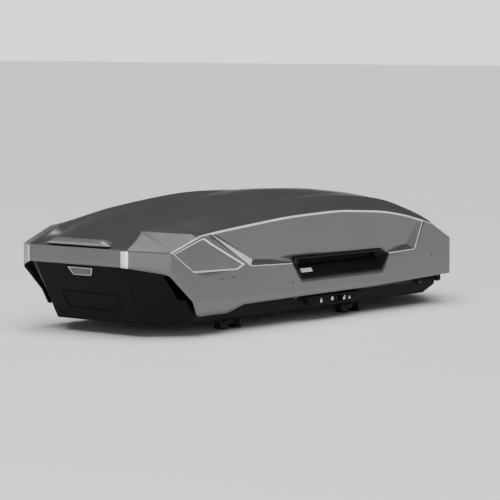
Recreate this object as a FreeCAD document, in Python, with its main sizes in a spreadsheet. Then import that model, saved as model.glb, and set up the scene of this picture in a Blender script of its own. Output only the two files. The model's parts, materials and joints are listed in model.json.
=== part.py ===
import FreeCAD, Part
import math
import os

import Sketcher

# A roof cargo box for a car: a black tub on two crossbars, under a faceted lid that hinges on either long
# side.  Millimetres.  +X is the direction of travel, +Y the car's left, +Z up.  Heights in this file are
# counted from the underside of the tub; every sub-part is then lifted by `lift`, which puts the lowest point
# of the clamp jaws at Z = 0.

V = FreeCAD.Vector
DOC = FreeCAD.newDocument("roof_box")
SHEET = DOC.addObject("Spreadsheet::Sheet", "Dims")
NODES = []

# Driving dimensions, in millimetres and degrees.
SIZES = {
    "lift": 48,              # from the jaws' lowest point to the tub's underside
    "rear_x": -950,          # flat rear face of the lid
    "nose_x": 950,           # flat nose of the lid
    "rear_half": 208,        # half width of the rear face
    "nose_half": 150,        # half width of the nose
    "side_half": 352,        # half width over the lid's skirts
    "corner_cut": 14,        # chamfer between the end faces and the quarter faces, along X
    "rear_quarter_x": -845,  # where the rear quarter face meets the side
    "nose_quarter_x": 738,   # where the nose quarter face meets the side
    "skirt_z": 78,           # crease above the skirt's turned-under lip
    "crown_z": 405,          # top of the lid
    "lid_wall": 4,
    "tub_wall": 4,
    "tub_side": 314,         # half width over the tub's upright side wall
    "tub_rim": 84,           # height of the tub's rim along the sides
    "tub_tail_rim": 212,     # height of the tub's rim at the rear
    "axis_y": 330,           # the two hinge axes lie at +/- axis_y
    "axis_z": 50,
    "bow_rear_x": -680,
    "bow_front_x": 690,
    "bow_wide": 16,
    "bow_z": 96,             # underside of the bow's cross piece
    "bow_thick": 6,
    "pivot_r": 5,
    "pivot_gap": 0.08,
    "ring_r": 8,
    "pin_r": 4,
    "pin_gap": 0.35,
    "latch_travel": 26,
    "latch_ring": 18,
    "bar_rear_x": -400,      # crossbar positions under the box
    "bar_front_x": 290,
    "clamp_y": 210,
    "bar_wide": 80,          # largest crossbar the jaws take
    "bar_deep": 26,
    "saddle_z": -18,         # face that rests on the crossbar
    "slot_long": 150,        # clamp adjustment slots in the floor
    "slot_wide": 14,
    "jaw_pin_z": -8,
    "spindle_r": 4,
    "jaw_wide": 30,
    "rail_high": 6,
    "rail_wide": 44,
    "knob_r": 29,
    "knob_high": 20,
    "handle_low": 112,
    "handle_mid": 170,
    "handle_top": 190,
    "handle_rear_x": -218,
    "handle_front_x": 356,
    "handle_deep": 34,
    "lock_rear_x": -119,
    "lock_front_x": 208,
    "lock_low": 12,
    "lock_face": 336,
    "slider_long": 46,
    "key_r": 7,
    "strap_wide": 25,
    "strap_thick": 1.6,
    "mat_thick": 4,
    "strut_a_y": 250, "strut_a_z": 25,       # strut A: on the tub, near the left hinge axis
    "strut_a_end_y": -100, "strut_a_end_z": 80,
    "strut_b_y": -250, "strut_b_z": 75,      # strut B: on the bow, near the right hinge axis
    "strut_b_end_y": 60, "strut_b_end_z": 265,
    "tube_r": 9,
    "rod_r": 4,
    "tube_long": 250,
}


class Dim:
    """A size that knows both its value and the spreadsheet expression it comes from."""

    def __init__(self, value, text):
        self.value = float(value)
        self.text = text

    def _with(self, other, sign, value):
        text = other.text if isinstance(other, Dim) else repr(float(other))
        return Dim(value, "(%s %s %s)" % (self.text, sign, text))

    def __add__(self, other):
        return self._with(other, "+", self.value + num(other))

    def __sub__(self, other):
        return self._with(other, "-", self.value - num(other))

    def __mul__(self, other):
        return self._with(other, "*", self.value * num(other))

    def __truediv__(self, other):
        return self._with(other, "/", self.value / num(other))

    def __radd__(self, other):
        return Dim(num(other), repr(float(other))) + self

    def __rsub__(self, other):
        return Dim(num(other), repr(float(other))) - self

    def __neg__(self):
        return Dim(-self.value, "(0 - %s)" % self.text)


def num(x):
    return x.value if isinstance(x, Dim) else float(x)


def fill_sheet():
    for row, (name, value) in enumerate(SIZES.items(), 1):
        SHEET.set("A%d" % row, name)
        SHEET.set("B%d" % row, repr(value))
        SHEET.setAlias("B%d" % row, name)
    DOC.recompute()
    return {name: Dim(value, "Dims." + name) for name, value in SIZES.items()}


D = fill_sheet()
N = SIZES


# ---------------------------------------------------------------- helpers

def bind(obj, prop, size):
    if isinstance(size, Dim):
        obj.setExpression(prop, size.text)
    else:
        setattr(obj, prop, size)


def place(obj, x=0, y=0, z=0, rotation=None):
    obj.Placement = FreeCAD.Placement(V(num(x), num(y), num(z)), rotation or FreeCAD.Rotation())
    for axis, size in (("x", x), ("y", y), ("z", z)):
        if isinstance(size, Dim):
            obj.setExpression("Placement.Base." + axis, size.text)
    return obj


def box(x, y, z, length, width, height):
    """A box between x and x + length, and so on."""
    obj = DOC.addObject("Part::Box", "Box")
    for prop, size in (("Length", length), ("Width", width), ("Height", height)):
        bind(obj, prop, size)
    return place(obj, x, y, z)


TURN = {
    "x": FreeCAD.Rotation(V(0, 1, 0), 90),
    "y": FreeCAD.Rotation(V(1, 0, 0), -90),
    "z": FreeCAD.Rotation(),
}


def rod(x, y, z, radius, length, along="z"):
    """A cylinder that starts at the point and runs along a row axis."""
    obj = DOC.addObject("Part::Cylinder", "Rod")
    bind(obj, "Radius", radius)
    bind(obj, "Height", length)
    return place(obj, x, y, z, TURN[along])


def fuse(pieces):
    obj = DOC.addObject("Part::MultiFuse", "Fuse")
    obj.Shapes = list(pieces)
    return obj


def cut(base, *tools):
    obj = DOC.addObject("Part::Cut", "Cut")
    obj.Base = base
    obj.Tool = tools[0] if len(tools) == 1 else fuse(tools)
    return obj


def group(pieces):
    """Several separate solids that share one node."""
    obj = DOC.addObject("Part::Compound", "Group")
    obj.Links = list(pieces)
    return obj


PLANES = {"XY": "XY_Plane", "XZ": "XZ_Plane", "YZ": "YZ_Plane"}


def sketch_on(body, plane, outlines, offset=0):
    """A sketch on a body's origin plane; each corner's two coordinates are bound to the sheet."""
    sketch = body.newObject("Sketcher::SketchObject", "Sketch")
    origin = [o for o in body.Origin.OriginFeatures if o.Role == PLANES[plane]][0]
    sketch.AttachmentSupport = [(origin, "")]
    sketch.MapMode = "FlatFace"
    if isinstance(offset, Dim):
        sketch.setExpression("AttachmentOffset.Base.z", offset.text)
    sketch.AttachmentOffset = FreeCAD.Placement(V(0, 0, num(offset)), FreeCAD.Rotation())
    for outline in outlines:
        first = sketch.GeometryCount
        corners = [V(num(a), num(b), 0) for a, b in outline]
        for i, corner in enumerate(corners):
            sketch.addGeometry(Part.LineSegment(corner, corners[(i + 1) % len(corners)]), False)
        for i, (a, b) in enumerate(outline):
            here, following = first + i, first + (i + 1) % len(outline)
            sketch.addConstraint(Sketcher.Constraint("Coincident", here, 2, following, 1))
            for kind, size in (("DistanceX", a), ("DistanceY", b)):
                at = sketch.addConstraint(Sketcher.Constraint(kind, -1, 1, here, 1, num(size)))
                if isinstance(size, Dim):
                    sketch.setExpression("Constraints[%d]" % at, size.text)
    return sketch


def pad(plane, outlines, length, offset=0, midplane=False):
    """A PartDesign body: the outlines, each given by its corners, padded by length."""
    body = DOC.addObject("PartDesign::Body", "Body")
    feature = body.newObject("PartDesign::Pad", "Pad")
    feature.Profile = sketch_on(body, plane, outlines, offset)
    bind(feature, "Length", length)
    feature.Midplane = midplane
    body.Tip = feature
    return body


def circle_pocket(body, plane, centre, radius, length, offset=0, midplane=True):
    """A round pocket in a body, through a sketch on one of its origin planes."""
    sketch = body.newObject("Sketcher::SketchObject", "Sketch")
    origin = [o for o in body.Origin.OriginFeatures if o.Role == PLANES[plane]][0]
    sketch.AttachmentSupport = [(origin, "")]
    sketch.MapMode = "FlatFace"
    sketch.AttachmentOffset = FreeCAD.Placement(V(0, 0, num(offset)), FreeCAD.Rotation())
    sketch.addGeometry(Part.Circle(V(num(centre[0]), num(centre[1]), 0), V(0, 0, 1), num(radius)), False)
    for kind, size in (("DistanceX", centre[0]), ("DistanceY", centre[1])):
        at = sketch.addConstraint(Sketcher.Constraint(kind, -1, 1, 0, 3, num(size)))
        if isinstance(size, Dim):
            sketch.setExpression("Constraints[%d]" % at, size.text)
    at = sketch.addConstraint(Sketcher.Constraint("Radius", 0, num(radius)))
    if isinstance(radius, Dim):
        sketch.setExpression("Constraints[%d]" % at, radius.text)
    pocket = body.newObject("PartDesign::Pocket", "Pocket")
    pocket.Profile = sketch
    pocket.Midplane = midplane
    bind(pocket, "Length", length)
    body.Tip = pocket
    return body


def shape(solid):
    obj = DOC.addObject("Part::Feature", "Shell")
    obj.Shape = solid
    return obj


def node(name, obj):
    """Names a finished sub-part."""
    obj.Label = name
    NODES.append(obj)
    return obj


def outboard(side, near, far):
    """Start and width, along Y, of a box that spans near to far from the middle on one side."""
    return (near if side > 0 else -far), far - near


# ---------------------------------------------------------------- outlines of the lid

def straight(points, x):
    """Height on a line of straight runs."""
    for (x0, v0), (x1, v1) in zip(points, points[1:]):
        if x <= x1:
            break
    t = min(1.0, max(0.0, (x - x0) / (x1 - x0)))
    return v0 + (v1 - v0) * t


def smooth(points, x):
    """Height on a smooth curve through the points (cubic, with the slope of each point's neighbours)."""
    n = len(points)
    x = min(points[-1][0], max(points[0][0], x))
    i = 0
    while i < n - 2 and x > points[i + 1][0]:
        i += 1

    def slope(k):
        a, b = points[max(0, k - 1)], points[min(n - 1, k + 1)]
        return (b[1] - a[1]) / (b[0] - a[0])

    (x0, v0), (x1, v1) = points[i], points[i + 1]
    w = x1 - x0
    t = (x - x0) / w
    return ((2 * t ** 3 - 3 * t ** 2 + 1) * v0 + (t ** 3 - 2 * t ** 2 + t) * w * slope(i)
            + (3 * t ** 2 - 2 * t ** 3) * v1 + (t ** 3 - t ** 2) * w * slope(i + 1))


# Lines that run along the lid, as (X, half width) or (X, height).  The roof has two raised crests with a
# shallow valley between them; the shoulder is the crease above each side wall.
BEND_REAR, BEND_FRONT = -706, 628      # between these the shoulder is one smooth curve
HALF = [(N["rear_x"], N["rear_half"]), (N["rear_x"] + N["corner_cut"], N["rear_half"] + 20),
        (N["rear_quarter_x"], 337), (BEND_REAR, 351), (-640, N["side_half"]),
        (N["nose_quarter_x"], N["side_half"]), (N["nose_x"] - N["corner_cut"], N["nose_half"] + 22),
        (N["nose_x"], N["nose_half"])]
SHOULDER_TAIL = [(N["rear_x"], 258), (N["rear_x"] + N["corner_cut"], 256), (N["rear_quarter_x"], 249),
                 (BEND_REAR, 298)]
SHOULDER = [(BEND_REAR, 298), (-611, 308), (-408, 324), (-233, 336), (-56, 341), (65, 342), (160, 337),
            (324, 325), (454, 305), (552, 283), (BEND_FRONT, 263)]
SHOULDER_NOSE = [(BEND_FRONT, 263), (N["nose_quarter_x"], 207), (938, 189), (N["nose_x"], 186)]
CREST_START = -827
CREST_Y = [(N["rear_x"], 204), (-936, 224), (CREST_START, 190), (-670, 216), (-519, 236), (-279, 254),
           (57, 262), (335, 264), (525, 276), (645, 296), (738, 290), (938, 120), (N["nose_x"], 105)]
CREST_TAIL = [(N["rear_x"], 258), (-936, 256.5), (CREST_START, 312)]
CREST_Z = [(CREST_START, 312), (-670, 337), (-519, 357), (-279, 379), (-95, 391), (57, 391), (180, 387),
           (335, 373), (430, 358), (525, 331), (645, 284), (738, 229), (938, 192), (N["nose_x"], 188)]
TAIL_TOP = -745                        # the straight tail slope ends here
VALLEY_Y = [(N["rear_x"], 160), (TAIL_TOP, 168), (525, 172), (738, 165), (938, 70), (N["nose_x"], 60)]
VALLEY_Z = [(TAIL_TOP, 306), (-646, 322), (-477, 346), (-209, 373), (-57, 385), (119, 394), (303, 386),
            (526, 353), (645, 321), (738, 282), (850, 236), (N["nose_x"], 190)]
CENTRE_Z = [(TAIL_TOP, 307), (-646, 324), (-477, 350), (-209, 381), (-57, 395), (100, N["crown_z"] - 2),
            (303, 396), (526, 369), (645, 338), (738, 302), (850, 251), (N["nose_x"], 195)]


def shoulder_z(x):
    if x < BEND_REAR:
        return straight(SHOULDER_TAIL, x)
    return smooth(SHOULDER, x) if x < BEND_FRONT else straight(SHOULDER_NOSE, x)


def tail_then(points, x):
    """A straight slope up from the rear face, then a smooth curve."""
    top = points[0][1]
    if x < TAIL_TOP:
        return 258 + (top - 258) * (x - N["rear_x"]) / (TAIL_TOP - N["rear_x"])
    return smooth(points, x)


def lid_section(x, wall):
    """The lid's closed outline across the box at x, drawn in by wall."""
    half = straight(HALF, x) - wall
    top = shoulder_z(x) - 0.6 * wall
    crest = straight(CREST_TAIL, x) if x < CREST_START else smooth(CREST_Z, x)
    valley, centre = tail_then(VALLEY_Z, x), tail_then(CENTRE_Z, x)
    valley_y = straight(VALLEY_Y, x)
    side = [(half - 8, 18), (half, N["skirt_z"]), (half, min(170, top - 8)), (half - 3, top),
            (min(straight(CREST_Y, x), half - 8), crest - wall), (valley_y, valley - wall),
            (valley_y / 2, centre - (centre - valley) * 0.3 - wall)]
    left = [V(x, y, z) for y, z in side]
    right = [V(x, -y, z) for y, z in reversed(side)]
    return Part.makePolygon(left + [V(x, 0, centre - wall)] + right + [left[0]])


def stations(start, end):
    creases = [-936, N["rear_quarter_x"], CREST_START, TAIL_TOP, BEND_REAR, -640, -519, -400, -279, -190,
               -95, 0, 57, 119, 180, 260, 335, 430, 525, BEND_FRONT, 645, 690, N["nose_quarter_x"], 850, 938]
    return [start] + [x for x in creases if start + 1 < x < end - 1] + [end]


def lid_body(wall):
    """The lid as a filled body; wall draws every face in, which gives the hollow."""
    start, end = N["rear_x"] + wall, N["nose_x"] - wall
    return Part.makeLoft([lid_section(x, wall) for x in stations(start, end)], True, True)


LID_EDGE = [(-1000, 200), (-950, 200), (-856, 176), (-745, 78), (-719, 27), (-565, 27), (-480, 50),
            (-150, 53), (250, 56), (744, 70), (800, 82), (950, 100), (1000, 100)]


def slab(points, low, high):
    """A plate between y = low and y = high with an outline in X and Z."""
    wire = Part.makePolygon([V(x, low, z) for x, z in points + points[:1]])
    return Part.Face(wire).extrude(V(0, high - low, 0))


def handle_outline(grow=0.0):
    low, mid, top = N["handle_low"] - grow, N["handle_mid"], N["handle_top"] + grow
    rear, front = N["handle_rear_x"] - grow, N["handle_front_x"] + grow
    return [(rear, mid), (rear + 55, low), (front - 49, low), (front, mid), (front - 50, top - 2),
            (rear + 16, top + 2)]


# ---------------------------------------------------------------- shells

def lid_shell():
    hollow = lid_body(N["lid_wall"])
    shell = lid_body(0).cut(hollow)
    below = slab([(-1000, -60)] + LID_EDGE + [(1000, -60)], -500, 500)
    shell = shell.cut(below)
    for side in (-1, 1):
        low, high = sorted((side * 300, side * 400))
        shell = shell.cut(slab(handle_outline(), low, high))
    node("lid_shell", shape(shell))
    return shape(shell), hollow


def tub_rear(z):
    """The tub's rear wall leans back towards its rim."""
    return straight([(0, -835), (30, -850), (N["tub_tail_rim"], -932)], z)


def tub_outline(z, wall):
    """The tub's plan at a height, drawn in by wall: an eight-cornered outline."""
    def at(low, knee, high):
        return straight([(0, low), (30, knee), (N["tub_tail_rim"], high)], z)
    rear = tub_rear(z) + wall
    rear_half = at(185, 188, 203) - 0.4 * wall
    corner = at(-700, -716, -836) + 0.6 * wall
    corner_half = at(312, 316, 328) - wall
    waist = corner + 40
    side = at(298, N["tub_side"], N["tub_side"]) - wall
    taper = straight([(0, 640), (30, 690), (110, 712)], z) - 0.6 * wall
    nose = straight([(0, 790), (30, 850), (110, 915)], z) - wall
    nose_half = 150 - 0.4 * wall
    half = [(rear, rear_half), (corner, corner_half), (waist, side), (taper, side), (nose, nose_half)]
    points = half + [(x, -y) for x, y in reversed(half)]
    return Part.makePolygon([V(x, y, z) for x, y in points + points[:1]])


TUB_RIM = [(-1000, N["tub_tail_rim"]), (-866, N["tub_tail_rim"]), (-768, N["tub_rim"]),
           (700, N["tub_rim"]), (800, 96), (1000, 118)]


def tub_body(wall, floor):
    levels = [floor, 30, 110, N["tub_tail_rim"] + (30 if wall else 0)]
    return Part.makeLoft([tub_outline(z, wall) for z in levels], True, True)


def tub_shell():
    shell = tub_body(0, 0).cut(tub_body(N["tub_wall"], N["tub_wall"]))
    above = slab(TUB_RIM + [(1000, 400), (-1000, 400)], -500, 500)
    shell = shell.cut(above)
    for x in (N["bar_rear_x"], N["bar_front_x"]):
        for y in (-N["clamp_y"], N["clamp_y"]):
            slot = Part.makeBox(N["slot_long"], N["slot_wide"], 20,
                                V(x - N["slot_long"] / 2, y - N["slot_wide"] / 2, -8))
            shell = shell.cut(slot)
    node("base_shell", shape(shell))
    return shape(shell)


# ---------------------------------------------------------------- things fixed to the tub

def floor_rails():
    """Two steel rails that spread the clamps' load along the floor, each with two adjustment slots."""
    for side, name in ((-1, "floor_rail_right"), (1, "floor_rail_left")):
        y = D["clamp_y"] * side - D["rail_wide"] / 2
        rail = box(-590, y, D["tub_wall"], 1090, D["rail_wide"], D["rail_high"])
        slots = [box(x - D["slot_long"] / 2, D["clamp_y"] * side - D["slot_wide"] / 2, 0,
                     D["slot_long"], D["slot_wide"], 20) for x in (D["bar_rear_x"], D["bar_front_x"])]
        node(name, cut(rail, *slots))


def rail_rivets():
    heads = []
    for side in (-1, 1):
        for x in (-560, -240, -60, 130, 470):
            z = D["tub_wall"] + D["rail_high"]
            heads.append(rod(x, D["clamp_y"] * side + 14, z, 5, 2.5))
    node("rail_rivets", group(heads))


def floor_mat():
    """The felt liner on the floor, between and outside the rails."""
    gap = 3
    inner = D["clamp_y"] - D["rail_wide"] / 2 - gap
    outer = D["clamp_y"] + D["rail_wide"] / 2 + gap
    rear, front, edge = -650, 600, 286
    corners = [(rear, -edge), (front, -edge), (front, edge), (rear, edge)]
    mat = pad("XY", [corners], D["mat_thick"], D["tub_wall"])
    holes = []
    for side in (-1, 1):
        y, wide = outboard(side, inner, outer)
        holes.append(box(-593, y, 0, 1096, wide, 20))
    node("floor_mat", cut(mat, *holes))


def straps():
    """Two webbing straps laid across the floor, each held at the rails and closed by a buckle."""
    z = D["tub_wall"] + D["mat_thick"]
    for x, name in ((-120, "rear"), (60, "front")):
        webbing = box(x, -180, z, D["strap_wide"], 360, D["strap_thick"])
        node("strap_" + name, group([webbing]))
        frame = box(x - 5, -28, z + D["strap_thick"], 35, 56, 9)
        mouth = box(x, -14, z + D["strap_thick"] + 5, 25, 20, 9)
        node("buckle_" + name, cut(frame, mouth))


def badge():
    """A blank trapezoid plate on the tub's rear wall, which leans forward towards the floor."""
    top, bottom, high, thick = 58, 40, 26, 3
    plate = pad("XY", [[(-bottom, -high), (bottom, -high), (top, 0), (-top, 0)]], thick)
    lean = math.degrees(math.atan2(tub_rear(30) - tub_rear(212), 182))
    facing = FreeCAD.Rotation(V(0, -1, 0), V(0, 0, 1), V(-1, 0, 0), "XYZ")
    tilt = FreeCAD.Rotation(V(0, 1, 0), -lean)
    height = 188
    plate.Placement = FreeCAD.Placement(V(tub_rear(height), 0, height), tilt * facing)
    node("badge_plate", plate)


def lock(side, name):
    """The lock housing below the lid's skirt, with its slider, key cylinder and latch bar."""
    wall, face = D["tub_side"], D["lock_face"]
    rear, front, low = D["lock_rear_x"], D["lock_front_x"], D["lock_low"]
    outline = [(rear, 45), (rear + 28, low), (front - 28, low), (front, 45)]
    housing = pad("XZ", [outline], face - wall, wall if side < 0 else -face)
    y, wide = outboard(side, face - 9, face + 1)
    window = box(15, y, 19, D["slider_long"] + D["latch_travel"] + 2, wide, 20)
    y, wide = outboard(side, wall, face - 8)
    shaft = box(20, y, 19, D["slider_long"] + D["latch_travel"] - 8, wide, 40)
    node("lock_housing_" + name, cut(housing, window, shaft))
    y, wide = outboard(side, face - 8.5, face - 1)
    slider = box(16, y, 20, D["slider_long"], wide, 18)
    y, wide = outboard(side, face - 2, face + 3)
    grip = box(50, y, 21, 8, wide, 16)
    y, wide = outboard(side, wall + 6, face - 8)
    arm = box(22, y, 24, 30, wide, 10)
    y, wide = outboard(side, face - 12, face + 5)
    bore = rod(32, y, 29, D["key_r"] + 0.1, wide, "y")
    node("lock_slider_" + name, cut(fuse([slider, grip, arm]), bore))
    y, wide = outboard(side, face - 12, face)
    key = rod(32, y, 29, D["key_r"], wide, "y")
    y, wide = outboard(side, face - 2, face + 1)
    keyway = box(31.2, y, 25, 1.6, wide, 8)
    node("key_cylinder_" + name, cut(key, keyway))
    latch_bar(side, name)


HOOKS_X = (-560, -190, 560)


def latch_bar(side, name):
    """A flat bar outside the tub wall that carries three rings; each ring holds one of the lid's pins."""
    axis_y, axis_z = D["axis_y"] * side, D["axis_z"]
    inner = D["tub_side"] + 0.4
    y, wide = outboard(side, inner, inner + 5)
    pieces = [box(HOOKS_X[0], y, axis_z - 2, HOOKS_X[2] - HOOKS_X[0] + D["latch_ring"], wide, 10),
              box(25, y, 23, 24, wide, 27)]
    for x in HOOKS_X:
        y, wide = outboard(side, inner + 3, inner + 11)
        pieces.append(box(x, y, axis_z - 2, D["latch_ring"], wide, 7))
        pieces.append(rod(x, axis_y, axis_z, D["ring_r"], D["latch_ring"], "x"))
    bore = D["pin_r"] + D["pin_gap"]
    holes = [rod(x - 1, axis_y, axis_z, bore, D["latch_ring"] + 2, "x") for x in HOOKS_X]
    node("latch_bar_" + name, cut(fuse(pieces), *holes))


# ---------------------------------------------------------------- bows, pivots and struts

BOWS = (("rear", "bow_rear_x"), ("front", "bow_front_x"))


def bow(name, key):
    """A flat steel bow across the box.  Its left eye turns on the tub, its right eye turns in the lid."""
    x = D[key] - D["bow_wide"] / 2
    axis_y, axis_z = D["axis_y"], D["axis_z"]
    top = D["bow_z"] + D["bow_thick"]
    leg = 8
    across = box(x, -axis_y - leg / 2, D["bow_z"], D["bow_wide"], axis_y * 2 + leg, D["bow_thick"])
    pieces = [across]
    for side in (-1, 1):
        y = axis_y * side
        pieces.append(box(x, y - leg / 2, axis_z, D["bow_wide"], leg, top - axis_z))
        pieces.append(rod(x, y, axis_z, D["ring_r"], D["bow_wide"], "x"))
    lug_r = 9
    for y, z, lug_x in (("strut_a_end_y", "strut_a_end_z", x), ("strut_b_y", "strut_b_z", x + 11)):
        pieces.append(rod(lug_x, D[y], D[z], lug_r, 5, "x"))
        pieces.append(box(lug_x, D[y] - lug_r, D[z], 5, lug_r * 2, D["bow_z"] - D[z] + 1))
    pieces.append(rod(x - 6.7, D["strut_a_end_y"], D["strut_a_end_z"], 6, 8, "x"))
    pieces.append(rod(x + 14, D["strut_b_y"], D["strut_b_z"], D["rod_r"], 20, "x"))
    pivot = D["pivot_r"] + D["pivot_gap"]
    holes = [rod(x - 1, axis_y * side, axis_z, pivot, D["bow_wide"] + 2, "x") for side in (-1, 1)]
    node("lift_bow_" + name, cut(fuse(pieces), *holes))


def ears(x, side, near, far, high):
    """Two ears with a pin between them, for one eye of a bow."""
    half = D["bow_wide"] / 2 + 0.5
    y, wide = outboard(side, near, far)
    plates = [box(edge, y, D["axis_z"] - 6, 3, wide, high) for edge in (x - half - 3, x + half)]
    pin = rod(x - half - 3, D["axis_y"] * side, D["axis_z"], D["pivot_r"], half * 2 + 6, "x")
    return plates + [pin]


def pivots(tub, lid):
    """The tub's pivots for the bows are on the left, the lid's are on the right."""
    ears_left = [fuse(ears(D[key], 1, D["tub_side"], D["axis_y"] + 5, 12)) for _, key in BOWS]
    node("tub_pivots", cut(group(ears_left), tub))
    ears_right = []
    for _, key in BOWS:
        y, wide = outboard(-1, D["axis_y"] + 4, D["side_half"] - D["lid_wall"])
        foot = box(D[key] - 11.5, y, 82, 23, wide, 18)
        ears_right.append(fuse(ears(D[key], -1, D["axis_y"] - 5, D["axis_y"] + 6, 42) + [foot]))
    node("lid_pivots", cut(group(ears_right), lid))


def strut(name, y, z, end_y, end_z, side):
    """A gas strut beside each bow: the tubes in one node, the rods in another."""
    start, end = V(0, N[y], N[z]), V(0, N[end_y], N[end_z])
    angle = math.degrees(math.atan2(end.z - start.z, end.y - start.y))
    reach = (end - start).Length
    tubes, rods = [], []
    for _, key in BOWS:
        x = N[key] + side * 20
        frame = FreeCAD.Placement(V(x, start.y, start.z), FreeCAD.Rotation(V(1, 0, 0), angle))

        def turned(solid):
            solid.Placement = frame.multiply(solid.Placement)
            return solid

        eye = turned(rod(-5, 0, 0, D["tube_r"] - 1, 10, "x"))
        barrel = turned(rod(0, 6, 0, D["tube_r"], D["tube_long"], "y"))
        seat = turned(rod(0, 30, 0, D["rod_r"] + 0.1, D["tube_long"], "y"))
        bore = turned(rod(-6, 0, 0, D["rod_r"] + 0.06, 12, "x"))
        tubes.append(cut(fuse([eye, barrel]), seat, bore))
        shaft = turned(rod(0, 110, 0, D["rod_r"], reach - 116, "y"))
        head = turned(rod(-5, reach, 0, 7, 10, "x"))
        rods.append(fuse([shaft, head]))
    node("strut_tubes_" + name, group(tubes))
    node("strut_rods_" + name, group(rods))


def strut_brackets(hollow):
    """Studs on the floor for strut A; lugs under the roof for strut B, trimmed to the roof's inside."""
    floor, roof_lugs = [], []
    for _, key in BOWS:
        x = D[key] - 20
        stand = box(x + 9.5, D["strut_a_y"] - 14, D["tub_wall"], 4, 21, D["strut_a_z"] - D["tub_wall"] + 8)
        foot = box(x + 9.5, D["strut_a_y"] - 26, D["tub_wall"], 10, 24, 3)
        stud = rod(x - 6, D["strut_a_y"], D["strut_a_z"], D["rod_r"], 16, "x")
        floor.append(fuse([stand, foot, stud]))
        lug = Part.makeBox(5, 30, 80, V(N[key] + 25.3, N["strut_b_end_y"] - 15, N["strut_b_end_z"] - 10))
        cap = Part.makeBox(34, 44, 80, V(N[key] + 10, N["strut_b_end_y"] - 22, N["strut_b_end_z"] - 10))
        skin = lid_body(N["lid_wall"] + 3)
        roof_lugs.append(lug.fuse(cap.cut(skin)).common(hollow).removeSplitter())
    node("strut_floor_brackets", group(floor))
    node("strut_roof_brackets", shape(Part.makeCompound([s for lug in roof_lugs for s in lug.Solids])))


# ---------------------------------------------------------------- things fixed to the lid

def handle(side, name, lid):
    """The grip insert in the lid's side: a six-cornered cup whose pocket runs up behind the panel above."""
    face, deep = N["side_half"] - 1, N["handle_deep"]
    low, high = sorted((side * (face - deep), side * face))
    cup = slab(handle_outline(-0.4), low, high)
    inner = N["side_half"] - N["lid_wall"]
    low, high = sorted((side * (inner - 3), side * inner))
    cup = cup.fuse(slab(handle_outline(7), low, high))
    rear, front = N["handle_rear_x"] + 62, N["handle_front_x"] - 56
    profile = [(face + 2, 117), (face - 24, 156), (face - 29, 160), (face - 29, 186), (face + 2, 186)]
    wire = Part.makePolygon([V(rear, y * side, z) for y, z in profile + profile[:1]])
    pocket = Part.Face(wire).extrude(V(front - rear, 0, 0))
    node("handle_insert_" + name, shape(cup.cut(pocket).cut(lid.Shape)))
    plate = Part.makeBox(60, 2, 14, V(-152, 0 if side > 0 else -2, -7))
    slope = math.degrees(math.atan2(26, 39))
    plate.rotate(V(0, 0, 0), V(1, 0, 0), slope * side)
    on_y, on_z = face - 13.7, 140.6
    plate.translate(V(0, side * on_y, on_z))
    node("handle_plate_" + name, shape(plate))


def lid_rails():
    """A channel riveted inside each skirt, with the three latch pins under it."""
    for side, name in ((-1, "right"), (1, "left")):
        inside = D["side_half"] - D["lid_wall"]
        y, wide = outboard(side, inside - 14, inside)
        rail = box(-600, y, 82, 1250, wide, 18)
        y, wide = outboard(side, inside - 16, inside - 2.5)
        core = box(-601, y, 84.5, 1252, wide, 13)
        node("lid_rail_" + name, cut(rail, core))
        pins = []
        for x in HOOKS_X:
            y, wide = outboard(side, D["axis_y"] - 4, D["axis_y"] + 7)
            ear = box(x - 7, y, D["axis_z"] - 5, 4, wide, 37)
            pin = rod(x - 7, D["axis_y"] * side, D["axis_z"], D["pin_r"], D["latch_ring"] + 10, "x")
            pins.append(fuse([ear, pin]))
        node("latch_pins_" + name, group(pins))


def rivets():
    """Rivets through the skirts: two at the rear, one amidships and one at the front."""
    heads = []
    for side in (-1, 1):
        for x, z in ((-600, 146), (-540, 147), (-216, 105), (622, 148)):
            y = -N["side_half"] - 1.2 if side < 0 else N["side_half"]
            heads.append(rod(x, y, z, 3, 1.2, "y"))
    node("skirt_rivets", group(heads))


def spoiler():
    """A short wing on the tail slope, above the rear face."""
    under = 261
    outline = [(-940, under), (-905, under + 9.5), (-880, under + 24), (-902, under + 24),
               (-938, under + 12)]
    wire = Part.makePolygon([V(x, -106, z) for x, z in outline + outline[:1]])
    bar = Part.Face(wire).extrude(V(0, 212, 0))
    ends = []
    for side in (-1, 1):
        tip = Part.makePolygon([V(-937, side * 148, under + 1), V(-930, side * 148, under + 3),
                                V(-932, side * 148, under + 4), V(-937, side * 148, under + 1)])
        root = Part.makePolygon([V(-940, side * 106, under), V(-905, side * 106, under + 9.5),
                                 V(-938, side * 106, under + 12), V(-940, side * 106, under)])
        ends.append(Part.makeLoft([root, tip], True, True))
    node("tail_spoiler", shape(bar.fuse(ends).cut(lid_body(0))))


# ---------------------------------------------------------------- clamps

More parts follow.
